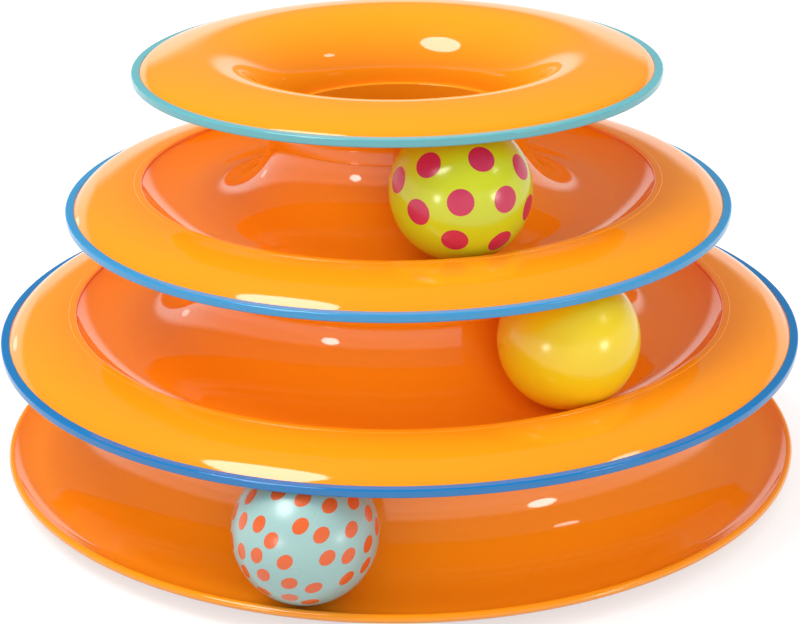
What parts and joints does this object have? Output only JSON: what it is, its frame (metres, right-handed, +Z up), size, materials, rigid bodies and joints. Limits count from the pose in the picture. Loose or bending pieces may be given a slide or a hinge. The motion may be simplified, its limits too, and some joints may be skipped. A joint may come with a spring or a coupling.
{
  "type": "cat ball track toy",
  "caption": "Round stacked tower of open ball tracks for a cat, with a captive ball in each track, umbrella-shaped brims with coloured edges and an open centre.",
  "frame": {"origin": "on the tower's axis, level with the underside of the foot pads", "axes": "+Z up along the tower's axis, -Y towards the picture's camera, +X to the right in the picture"},
  "size_m": [0.247, 0.2505, 0.1306],
  "materials": {
    "deck_orange": "gloss",
    "rim_dark_blue": "gloss",
    "rim_mid_blue": "gloss",
    "rim_teal": "gloss",
    "ball_pale_blue": "gloss with printed orange dots",
    "ball_yellow": "gloss",
    "ball_lime": "gloss with printed pink dots",
    "foot_rubber": "matte"
  },
  "bodies": {
    "base": {"base_tray": "deck_orange", "foot_pad_front_left": "foot_rubber", "foot_pad_front_right": "foot_rubber", "foot_pad_back_left": "foot_rubber", "foot_pad_back_right": "foot_rubber"},
    "lower_ring": {"lower_track": "deck_orange", "lower_rim": "rim_dark_blue"},
    "upper_ring": {"upper_track": "deck_orange", "upper_rim": "rim_mid_blue"},
    "cap": {"top_cap": "deck_orange", "top_rim": "rim_teal"},
    "bottom_ball": {"bottom_ball_front_half": "ball_pale_blue", "bottom_ball_back_half": "ball_pale_blue"},
    "middle_ball": {"middle_ball_front_half": "ball_yellow", "middle_ball_back_half": "ball_yellow"},
    "top_ball": {"top_ball_front_half": "ball_lime", "top_ball_back_half": "ball_lime"}
  },
  "joints": [
    {"name": "lower_ring_lift", "type": "slide", "parent": "base", "child": "lower_ring", "axis": [0, 0, 1], "range_m": [0, 0.06]},
    {"name": "upper_ring_lift", "type": "slide", "parent": "lower_ring", "child": "upper_ring", "axis": [0, 0, 1], "range_m": [0, 0.06]},
    {"name": "cap_lift", "type": "slide", "parent": "upper_ring", "child": "cap", "axis": [0, 0, 1], "range_m": [0, 0.06]},
    {"name": "bottom_ball_run", "type": "hinge", "parent": "base", "child": "bottom_ball", "pos_m": [0, 0, 0.0253], "axis": [0, 0, 1], "continuous": true},
    {"name": "middle_ball_run", "type": "hinge", "parent": "lower_ring", "child": "middle_ball", "pos_m": [0, 0, 0.0653], "axis": [0, 0, 1], "continuous": true},
    {"name": "top_ball_run", "type": "hinge", "parent": "upper_ring", "child": "top_ball", "pos_m": [0, 0, 0.1053], "axis": [0, 0, 1], "continuous": true}
  ]
}
